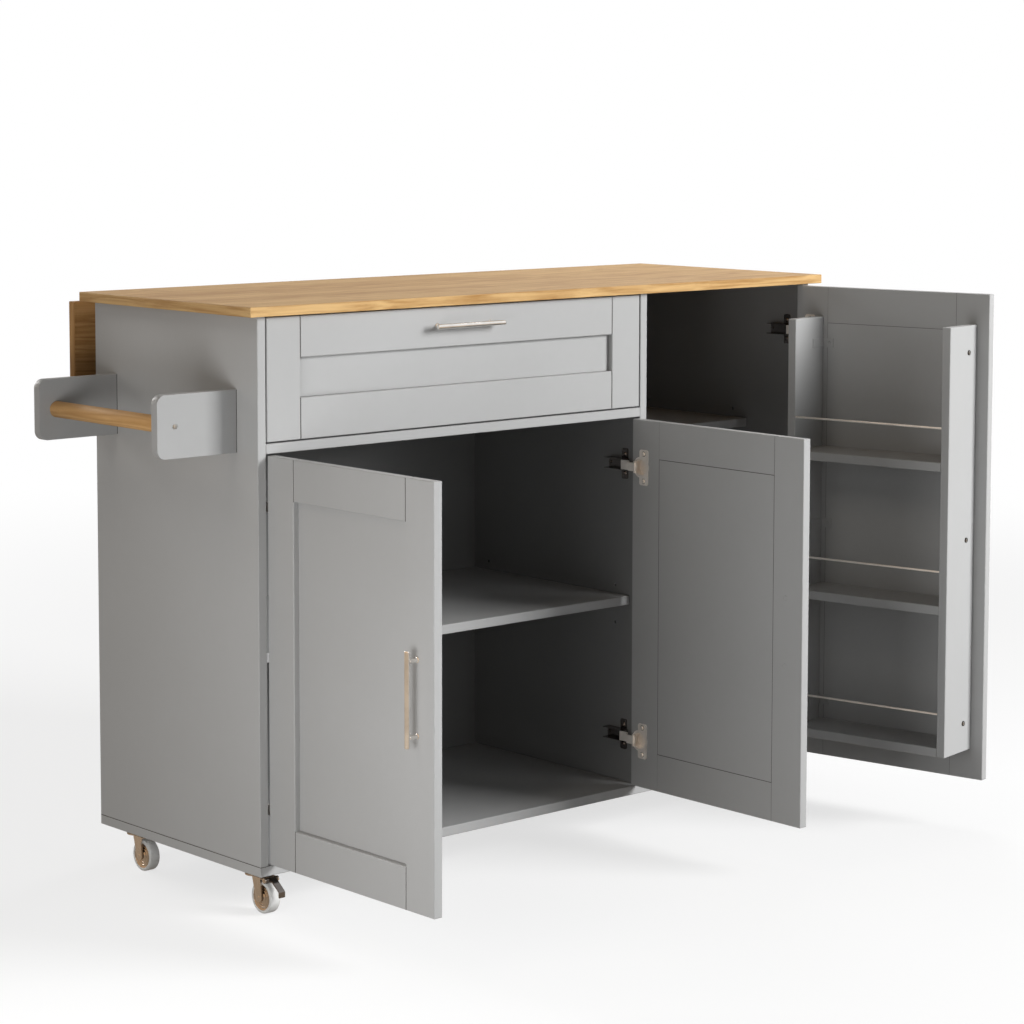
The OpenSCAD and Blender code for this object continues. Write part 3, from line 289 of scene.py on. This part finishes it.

# ------------------------------------------------------------------ worktop and drop leaf
# Honey-coloured oak boards under satin lacquer, the grain along their length and an edge band
# with its own grain on each end. The leaf is cut from the same board, but its oak has darker colours as
# painted shade.


def oak(name, along, band, light=(0.62, 0.41, 0.19), dark=(0.34, 0.182, 0.064)):
    """Oak with its grain along an axis, or along the band's axis on faces that look along X:
    broad staves, long fibres, fine hairs and short dark pores, all stretched noise."""
    material, output, start = new_material(name)
    place = start.make("TexCoord", out=3)
    stretch = {"X": (0.055, 1.0, 1.0), "Y": (1.0, 0.055, 1.0), "Z": (1.0, 1.0, 0.055)}
    ends = start.make("TexCoord", out=1).part("X").math("ABSOLUTE").math("GREATER_THAN", 0.7)
    grain = ends.mix(place.times(*stretch[along]), place.times(*stretch[band]))
    drift = place.noise(5.0, 2.0, 0.5, out=1).times(0.010, 0.010, 0.010)
    grain = grain.make("VectorMath", {0: grain, 1: drift}, operation="ADD")
    stave = grain.noise(16.0, 2.0, 0.5)
    fibre = grain.noise(190.0, 4.0, 0.65)
    hair = grain.noise(900.0, 2.0, 0.6)
    figure = (grain.noise(34.0, 2.0, 0.5) * 60.0).math("SINE") * 0.5 + 0.5
    tone = stave * 0.30 + fibre * 0.40 + hair * 0.16 + figure * 0.14
    colour = tone.step(0.30, 0.70).mix((*dark, 1), (*light, 1))
    pores = hair.step(0.60, 0.72) * fibre.step(0.45, 0.62)
    colour = (pores * 0.45).mix(colour, tuple(0.62 * c for c in dark) + (1,))
    rough = fibre * 0.12 + pores * 0.12 + 0.50
    return surface(material, output, {"Base Color": colour, "Roughness": rough, "Specular IOR Level": 0.15},
                   bump(fibre * 0.5 - pores * 0.5, 0.20, 0.0002))


dress(oak("oak_worktop", "X", "Y"), "oak", 0.0012, "worktop")
# The leaf's darker light and dark oak colours are painted shade for the leaf hanging under the worktop.
dress(oak("oak_leaf_painted_shade", "X", "Z", (0.47, 0.27, 0.11), (0.25, 0.125, 0.043)), "oak", 0.0012, "leaf_board")

# ------------------------------------------------------------------ towel rail
# A turned oak stick, let into two brackets that are screwed to the left side. Their grey is
# set darker than the doors' as painted shade.
# The brackets' darker grey stands in for the shade they lie in: painted shade.
dress(grey_paint("grey_paint_brackets_painted_shade", BRACKET_SHADED_GREY), "grey_paint", 0.0008, "towel_brackets")
dress(oak("oak_stick", "Y", "Y", (0.62, 0.38, 0.17), (0.44, 0.24, 0.09)), "oak", 0.0003, "towel_dowel")

# ------------------------------------------------------------------ bar handles
# Each is a polished plated steel bar on two posts, held by two screws from behind. On the two
# short doors the screws' heads are sunk and capped with grey plugs.


def metal(name, colour, rough, brushed=0.0, scale=700.0, metallic=1.0):
    """Plated metal: a faintly cloudy colour and fine drawn lines in its gloss."""
    material, output, start = new_material(name)
    place = start.make("TexCoord", out=3)
    cloud = place.noise(35.0, 3.0, 0.6)
    line = place.times(1.0, 1.0, 0.06).noise(scale, 2.0, 0.6)
    low = tuple(0.88 * c for c in colour) + (1,)
    shade = cloud.step(0.3, 0.7).mix(low, (*colour, 1))
    gloss = cloud * 0.06 + line * brushed + rough
    return surface(material, output, {"Base Color": shade, "Metallic": metallic, "Roughness": gloss},
                   bump(line, 0.05, 0.0001))


def turned(profile, at, along, count=40):
    """Revolves pairs (place along an axis, radius), in millimetres, about an axis through a
    point: each point is at + place * along + radius * (cos t * side + sin t * up)."""
    along = np.array(along, float) / np.linalg.norm(along)
    side = np.cross(along, (0, 0, 1) if abs(along[2]) < 0.9 else (1, 0, 0))
    side /= np.linalg.norm(side)
    up = np.cross(along, side)
    reach, radius = np.array(profile, float).T * 0.001
    turn = np.linspace(0, 2 * np.pi, count + 1)
    ring = np.cos(turn)[:, None] * side + np.sin(turn)[:, None] * up
    return np.array(at, float) + reach[:, None, None] * along + radius[:, None, None] * ring


def piece(name, grids, materials, body, slot, *nodes):
    """A mesh of point grids, each with its material's number, that rides on a body and stands
    for nodes. Equal points are merged, and triangles that lose a side are dropped."""
    points, triangles, kinds, count = [], [], [], 0
    for grid, kind in grids:
        rows, columns = grid.shape[:2]
        index = count + np.arange(rows * columns).reshape(rows, columns)
        a, b, c, d = index[:-1, :-1], index[:-1, 1:], index[1:, 1:], index[1:, :-1]
        both = np.concatenate([np.stack([a, b, c], 2).reshape(-1, 3), np.stack([a, c, d], 2).reshape(-1, 3)])
        points.append(grid.reshape(-1, 3))
        triangles.append(both)
        kinds.append(np.full(len(both), kind))
        count += rows * columns
    points, triangles, kinds = np.concatenate(points), np.concatenate(triangles), np.concatenate(kinds)
    first, same = np.unique(np.round(points * 1e6).astype(np.int64), axis=0, return_index=True,
                            return_inverse=True)[1:]
    triangles = same.reshape(-1)[triangles]
    kept = ((triangles[:, 0] != triangles[:, 1]) & (triangles[:, 1] != triangles[:, 2])
            & (triangles[:, 2] != triangles[:, 0]))
    mesh = bpy.data.meshes.new(name)
    mesh.from_pydata(points[first].tolist(), [], triangles[kept].tolist())
    for material in materials:
        mesh.materials.append(material)
    mesh.polygons.foreach_set("material_index", kinds[kept])
    mesh.polygons.foreach_set("use_smooth", np.ones(len(mesh.polygons), bool))
    mesh.set_sharp_from_angle(angle=0.7)
    mesh.update()
    made = bpy.data.objects.new(name, mesh)
    bpy.context.scene.collection.objects.link(made)
    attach(made, body)
    if nodes:
        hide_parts(*nodes)
    return made


chrome = metal("chrome", (0.96, 0.93, 0.89), 0.06, 0.05)
HANDLE_REACH, HANDLE_IN, BAR_HALF, POST_OUT = 0.0185, 0.036, 69.0, 0.054
BAR = [(-BAR_HALF, 0), (-BAR_HALF, 3.1), (-BAR_HALF + 0.25, 3.55), (-BAR_HALF + 0.8, 3.9),
       (-BAR_HALF + 1.6, 4.0)]
BAR += [(-place, radius) for place, radius in BAR[::-1]]
POST = [(0.05, 0), (0.05, 4.1), (0.9, 4.1), (1.3, 3.7), (1.7, 3.2), (14.6, 3.2), (15.6, 3.0), (16.6, 2.0),
        (16.6, 0)]
PLUG = [(-2.2, 0), (-2.2, 4.15), (-0.25, 4.15), (-0.02, 3.9), (0.1, 3.0), (0.12, 0)]


def handle(name, middle, out, along, body, capped):
    """A bar along an axis, its middle in front of a point on the face, and the face's plugs."""
    middle, out, along = (np.array(v, float) for v in (middle, out, along))
    grids = [(turned(BAR, middle + HANDLE_REACH * out, along), 0)]
    for end in (-POST_OUT, POST_OUT):
        foot = middle + end * along
        grids.append((turned(POST, foot, out, 28), 0))
        if capped:
            grids.append((turned(PLUG, foot - 0.015 * out, -out, 24), 1))
    piece(name + "_bar", grids, [chrome, paint], body, "nickel", name)


# The doors stand open on their hinge axes. Each row gives the axis's X, the door's angle, the
# side that its free edge lies on when closed, and its width and height.
DOOR_Z, FRONT_Y = 0.0815, -0.2135
DOORS = {"left": (-0.578, 90, 1, 0.38025, 0.614), "middle": (0.186, 90, -1, 0.38025, 0.614),
         "right": (0.578, 101, -1, 0.372, 0.818)}


def door_frame_axes(name):
    """A door's axis on the floor, its direction to the free edge and its inward direction."""
    x, turn, hand = DOORS[name][:3]
    cos, sin = np.cos(np.radians(turn)), np.sin(np.radians(turn))
    return np.array([x, FRONT_Y, DOOR_Z]), np.array([hand * cos, -sin, 0]), np.array([hand * sin, cos, 0])


def on_door(name, across, deep, high):
    """A point of a door's space: from its hinge edge, in from its outer face, and up."""
    origin, edge, inward = door_frame_axes(name)
    return origin + (across + 0.0005) * edge + deep * inward + np.array([0, 0, high])


for name, (*_, width, height) in DOORS.items():
    handle(name + "_door_handle", on_door(name, width - HANDLE_IN, 0, height / 2),
           -door_frame_axes(name)[2], (0, 0, 1), name + "_door", name != "right")
handle("drawer_handle", (-0.196, FRONT_Y, 0.871), (0, -1, 0), (1, 0, 0), "drawer", False)

# ------------------------------------------------------------------ cup hinges
# Pressed steel: a bright cup with its flange on the door, a dark nickel-plated arm on a
# cross-shaped plate on the wall, the bright link between them, and pan-headed screws.
dark_nickel = metal("dark_nickel", (0.22, 0.20, 0.19), 0.12, 0.06)
bright_steel = metal("bright_steel", (0.96, 0.91, 0.85), 0.36, 0.08, metallic=0.35)
dress(dark_nickel, "steel", 0.0003, "hinge_arms", "hinge_plates")
dress(bright_steel, "steel", 0.0003, "left_hinge_cups", "middle_hinge_cups", "right_hinge_cups",
      "left_hinge_links", "middle_hinge_links", "right_hinge_links")
# Near-black metal for screw recesses and the rings round sunk heads: painted shade.
shadowed = metal("recess_painted_shade", (0.10, 0.095, 0.09), 0.45)
HEAD = [(-0.3, 0), (-0.3, 3.7), (0.5, 3.7), (1.05, 3.3), (1.35, 2.7), (1.4, 1.9)]
RECESS = [(1.4, 1.9), (0.9, 1.4), (0.3, 0.8), (0.2, 0)]
# The dark rim ring round each cup screw is painted shade.
CUP_RIM = [(-0.2, 4.3), (0.12, 4.3), (0.16, 3.75), (-0.2, 3.75), (-0.2, 4.3)]


def screw_heads(name, places, body, head=HEAD, recess=RECESS, rim=()):
    """Heads at (point, outward direction) pairs, in millimetres: a domed rim, a conical recess
    in near-black painted shade, and round a sunk head a ring of the same painted shade."""
    grids = []
    for at, out in places:
        grids += [(turned(head, at, out, 20), 0), (turned(recess, at, out, 20), 1)]
        if rim:
            grids.append((turned(rim, at, out, 20), 1))
    piece(name, grids, [chrome, shadowed], body, "steel")


CUP_SCREW, CUP_SCREW_U, FLANGE_FACE = 0.0225, 0.027, 0.0162
PLATE_SCREW, PLATE_SCREW_Y = 0.016, 0.034
HINGE_HEIGHTS = {"left": (0.0785, 0.5355), "middle": (0.0785, 0.5355), "right": (0.0785, 0.409, 0.7395)}
WALLS = {"left": (-0.580, 1), "middle": (0.188, -1), "right": (0.580, -1)}
wall_heads = []
for name, heights in HINGE_HEIGHTS.items():
    inward = door_frame_axes(name)[2]
    cup_heads = [(on_door(name, CUP_SCREW_U, FLANGE_FACE, high + end * CUP_SCREW), inward)
                 for high in heights for end in (-1, 1)]
    screw_heads(name + "_cup_screws", cup_heads, name + "_door", rim=CUP_RIM)
    wall_x, hand = WALLS[name]
    plate_x, plate_y = wall_x + hand * 0.002, FRONT_Y + PLATE_SCREW_Y
    wall_heads += [((plate_x, plate_y, DOOR_Z + high + end * PLATE_SCREW), (hand, 0, 0))
                   for high in heights for end in (-1, 1)]
screw_heads("hinge_plate_screws", wall_heads, "cabinet")

# ------------------------------------------------------------------ spice rack fixings and rods
# Polished steel guard rods run between the rack's sides. Painted steel angles and sunk screws
# hold the rack on the tall door.
dress(bright_steel, "steel", 0.0002, "rack_rods")
dress(paint, "steel", 0.0003, "rack_fixings")
RACK_U, RACK_W, RACK_Z, RACK_H = 0.0385, 0.3105, 0.051, 0.716
edge = door_frame_axes("right")[1]
screw_heads("rack_side_screws", [
    (on_door("right", across, 0.042, RACK_Z + high), way * edge)
    for high in (RACK_H - 0.045, RACK_H / 2, 0.048)
    for across, way in ((RACK_U, -1), (RACK_U + RACK_W, 1))], "right_door",
    [(1.5, 0), (1.5, 2.7), (1.8, 2.65), (1.95, 2.2), (1.95, 1.2)], [(1.95, 1.2), (1.7, 0.7), (1.65, 0)],
    [(0.02, 4.3), (0.9, 4.25), (1.68, 3.8), (1.7, 2.75), (1.45, 2.75), (0.02, 3.5), (0.02, 4.3)])

# ------------------------------------------------------------------ open joints of the painted boards
# Stiles, rails and panels are glued up after spraying, and the side panels stand on the base
# board, so each joint stays open as a hair line; the shade in it is painted as a near-black fillet.
joint_painted_shade, output, start = new_material("joint_painted_shade")
# The fillets' near-black colour is painted shade in the open joints.
place = start.make("TexCoord", out=3)
colour = place.noise(90.0).mix((0.035, 0.033, 0.03, 1), (0.06, 0.057, 0.052, 1))
surface(joint_painted_shade, output, {"Base Color": colour, "Roughness": place.noise(40.0) * 0.2 + 0.6})


def joint_lines(name, lines, body):
    """Near-black fillets at the bottom of joints, as painted shade. Each line has two ends, the way out of
    the face, a
    width and a depth in millimetres: a flat six-sided section is swept from end to end."""
    grids = []
    for first, last, out, width, depth in lines:
        first, last, out = (np.array(v, float) for v in (first, last, out))
        along = (last - first) / np.linalg.norm(last - first)
        side = np.cross(out, along)
        half = width * 0.0005
        flat = np.array([(half, -0.6), (half, -0.04), (half * 0.8, 0), (-half * 0.8, 0), (-half, -0.04),
                         (-half, -0.6), (half, -0.6)])
        flat[:, 1] = (flat[:, 1] - depth) * 0.001
        ring = flat[:, :1] * side + flat[:, 1:] * out
        core = np.tile(ring[:-1].mean(0), (len(ring), 1))
        grids.append((np.stack([first + core, first + ring, last + ring, last + core]), 0))
    piece(name, grids, [joint_painted_shade], body, "grey_paint")


STILE, DOOR_T = 0.06205, 0.015
for name, (*_, width, height) in DOORS.items():
    inward = door_frame_axes(name)[2]
    lines = [(on_door(name, across, 0, low), on_door(name, across, 0, high), -inward, 1.4, 0.45)
             for across in (STILE, width - STILE)
             for low, high in ((0.0004, STILE), (height - STILE, height - 0.0004))]
    lines += [(on_door(name, across, DOOR_T, 0.0004), on_door(name, across, DOOR_T, height - 0.0004), inward,
               1.1, 0.22) for across in (STILE, width - STILE)]
    lines += [(on_door(name, STILE, DOOR_T, high), on_door(name, width - STILE, DOOR_T, high), inward,
               1.1, 0.22) for high in (STILE, height - STILE)]
    joint_lines(name + "_door_joints", lines, name + "_door")
FRONT_W, FRONT_H, FRONT_X, FRONT_Z = 0.763, 0.184, -0.5775, 0.7155
joint_lines("drawer_front_joints", [
    ((FRONT_X + across, FRONT_Y, FRONT_Z + low), (FRONT_X + across, FRONT_Y, FRONT_Z + high), (0, -1, 0),
     1.4, 0.45) for across in (STILE, FRONT_W - STILE)
    for low, high in ((0.0004, STILE), (FRONT_H - STILE, FRONT_H - 0.0004))], "drawer")
SIDE_X, SIDE_Y, BASE_TOP = 0.595, 0.2131, 0.079
seams = [((way * SIDE_X, -SIDE_Y, BASE_TOP), (way * SIDE_X, SIDE_Y, BASE_TOP), (way, 0, 0), 1.0, 0.07)
         for way in (-1, 1)]
seams += [((-0.5956, y, 0.6972), (-0.5956, y, 0.7908), (0, -1, 0), 1.1, -0.04) for y in (-0.162, 0.153)]
seams += [((way * 0.5946, FRONT_Y, BASE_TOP), (way * 0.5804, FRONT_Y, BASE_TOP), (0, -1, 0), 1.0, 0.07)
          for way in (-1, 1)]
seams += [((-0.5946, -FRONT_Y, BASE_TOP), (0.5946, -FRONT_Y, BASE_TOP), (0, 1, 0), 1.0, 0.07)]
seams += [((x, -FRONT_Y, 0.0794), (x, -FRONT_Y, 0.9016), (0, 1, 0), 1.0, 0.07)
          for x in (-0.580, 0.188, 0.203, 0.580)]
joint_lines("side_panel_joints", seams, "cabinet")

# ------------------------------------------------------------------ slides, stays and small steel
# Drawer slides, stays and their levers are pressed steel. They, the shelf pins and the long
# screws are zinc-plated.
zinc = metal("zinc", (0.66, 0.65, 0.63), 0.24, 0.12)
dress(zinc, "steel", 0.0002, "shelf_pins", "carcass_screws", "drawer_slide_outers", "drawer_slide_middles",
      "drawer_slide_inners", "drawer_front_screws", "towel_rail_screws",
      "stay_wall_arms", "stay_pins", "stay_leaf_arms", "stay_lock_levers")

# ------------------------------------------------------------------ casters
# Plates and forks are pressed steel with a bright plating, and the brake pedals are dark
# nickel. Each wheel is a pale grey tyre pressed on a dished, ringed and plated hub disc. The plating's warm
# tint is painted reflection of warm surroundings.
# The warm tint of the fork plating is painted reflection.
plated = metal("caster_plating", (0.58, 0.51, 0.44), 0.14, 0.06)
dress(plated, "caster_metal", 0.0003, "caster_plates")
dress(dark_nickel, "caster_metal", 0.0003, "front_left_brake", "front_right_brake")
# The hub's brownish tint is painted reflection.
hub_plating = metal("hub_plating", (0.46, 0.40, 0.34), 0.10, 0.04)

tyre, output, start = new_material("tyre_grey")
place = start.make("TexCoord", out=3)
grime = place.noise(30.0, 4.0, 0.6)
colour = grime.step(0.35, 0.7).mix((0.56, 0.56, 0.55, 1), (0.66, 0.66, 0.65, 1))
surface(tyre, output, {"Base Color": colour, "Roughness": grime * 0.2 + 0.38},
        bump(place.noise(500.0), 0.15, 0.0002))

TYRE = [(8.6, 20.02), (9.1, 20.3), (9.4, 20.9), (9.5, 21.7), (9.4, 22.6), (9.0, 23.5), (8.3, 24.3),
        (7.4, 24.8), (6.4, 25.0)]
TYRE = [(-place, radius) for place, radius in TYRE] + TYRE[::-1] + [(-8.6, 20.02)]
DISC = [(9.5, 3.1), (9.5, 6.6), (9.1, 7.2), (7.7, 8.3), (7.3, 9.4), (7.5, 10.3), (8.1, 10.8), (8.1, 11.7),
        (7.4, 12.3), (7.1, 13.3), (7.3, 14.4), (8.0, 15.0), (8.0, 15.9), (7.4, 16.6), (7.5, 18.2),
        (8.4, 19.4), (8.6, 19.98)]
DISC = [(-place, radius) for place, radius in DISC] + DISC[::-1] + [(-9.5, 3.1)]
TRAIL, AXLE_Z, CROWN_Z = 28.0, 25.0, 53.5
CHEEK_IN, CHEEK_OUT, LEG_TOP = 10.5, 13.0, 56.0
CROWN = [(CROWN_Z, 3.6), (CROWN_Z, 14.2), (54.2, 15), (56.1, 15), (56.8, 14.3), (56.8, 3.6), (CROWN_Z, 3.6)]
AXLE = [(-14.2, 0), (-14.2, 2.2), (-13.6, 3), (13.6, 3), (14.2, 2.2), (14.2, 0)]
BRAKE_EAR = [(CHEEK_IN, 0), (CHEEK_IN, 4), (CHEEK_OUT, 4), (CHEEK_OUT, 1.5), (13.6, 1.5), (13.8, 1.2),
             (13.8, 0)]
BOSS, WIDEN, LEAN_FROM, LEAN, RIB = 7.2, 3.1, 1.5, 6.0, 0.8


def capped(rings):
    """Closed rings of points, one after another, with a middle point before and after them."""
    middles = [np.tile(ring[:-1].mean(0), (len(ring), 1)) for ring in (rings[0], rings[-1])]
    return np.stack([middles[0], *rings, middles[1]])


def slab(low, high, edge=0.5):
    """A plate between two corners, in millimetres, its upper and lower edges chamfered."""
    (x0, y0, z0), (x1, y1, z1) = low, high
    rings = [np.array([(x1 - i, y0 + i, z), (x1 - i, y1 - i, z), (x0 + i, y1 - i, z),
                       (x0 + i, y0 + i, z), (x1 - i, y0 + i, z)]) * 0.001
             for z, i in ((z0, edge), (z0 + edge, 0), (z1 - edge, 0), (z1, edge))]
    return capped(rings)


def fork_leg(way):
    """A leg of the fork at one side of the wheel, in millimetres from the swivel's foot: it is
    round below the axle, widens and leans towards the swivel above it, and two pressed ribs
    stand out of its outer face by 0.8 mm times the sine squared of the way across it."""
    down = AXLE_Z - BOSS * np.cos(np.linspace(0.08, np.pi / 2, 8))
    heights = np.concatenate([down, np.linspace(AXLE_Z, LEG_TOP, 10)[1:]])
    rise = np.clip((heights - AXLE_Z) / (LEG_TOP - AXLE_Z), 0, 1)
    half = np.where(heights < AXLE_Z, np.sqrt(np.clip(BOSS ** 2 - (AXLE_Z - heights) ** 2, 0, None)),
                    BOSS + WIDEN * rise)
    centre = -TRAIL + LEAN_FROM + LEAN * rise
    outer, inner = np.linspace(-way, way, 25), np.linspace(way, -way, 9)
    rings = []
    for z, w, y in zip(heights, half, centre):
        ribs = RIB * np.sin(np.pi * outer) ** 2 * min(1, w / 6)
        out = np.stack([way * (CHEEK_OUT + ribs), y + w * outer, np.full(25, z)], 1)
        back = np.stack([np.full(9, way * CHEEK_IN), y + w * inner, np.full(9, z)], 1)
        rings.append(np.concatenate([out, back, out[:1]]) * 0.001)
    return capped(rings)


for corner in ("front_left", "front_right", "rear_left", "rear_right"):
    foot = np.array([-0.565 if "left" in corner else 0.565, -0.158 if "front" in corner else 0.158, 0])
    grids = [turned(CROWN, foot, (0, 0, 1), 40), foot + slab((-9, -38, CROWN_Z), (9, 4, LEG_TOP)),
             foot + slab((-CHEEK_OUT, -36, CROWN_Z), (CHEEK_OUT, -11, LEG_TOP)),
             foot + fork_leg(-1), foot + fork_leg(1),
             turned(AXLE, foot + (0, -TRAIL * 0.001, AXLE_Z * 0.001), (1, 0, 0), 24)]
    if "front" in corner:
        grids += [turned(BRAKE_EAR, foot + (0, -0.040, 0.053), (way, 0, 0), 20) for way in (-1, 1)]
    piece(corner + "_fork_pressing", [(grid, 0) for grid in grids], [plated], corner + "_swivel",
          "caster_metal", corner + "_fork")
    low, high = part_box(corner + "_wheel")
    middle = (np.array(low) + np.array(high)) / 2
    piece(corner + "_wheel_tyre", [(turned(TYRE, middle, (1, 0, 0), 72), 0)], [tyre],
          corner + "_wheel_turning", "wheel_rubber", corner + "_wheel")
    piece(corner + "_wheel_hub", [(turned(DISC, middle, (1, 0, 0), 72), 0)], [hub_plating],
          corner + "_wheel_turning", "caster_metal")
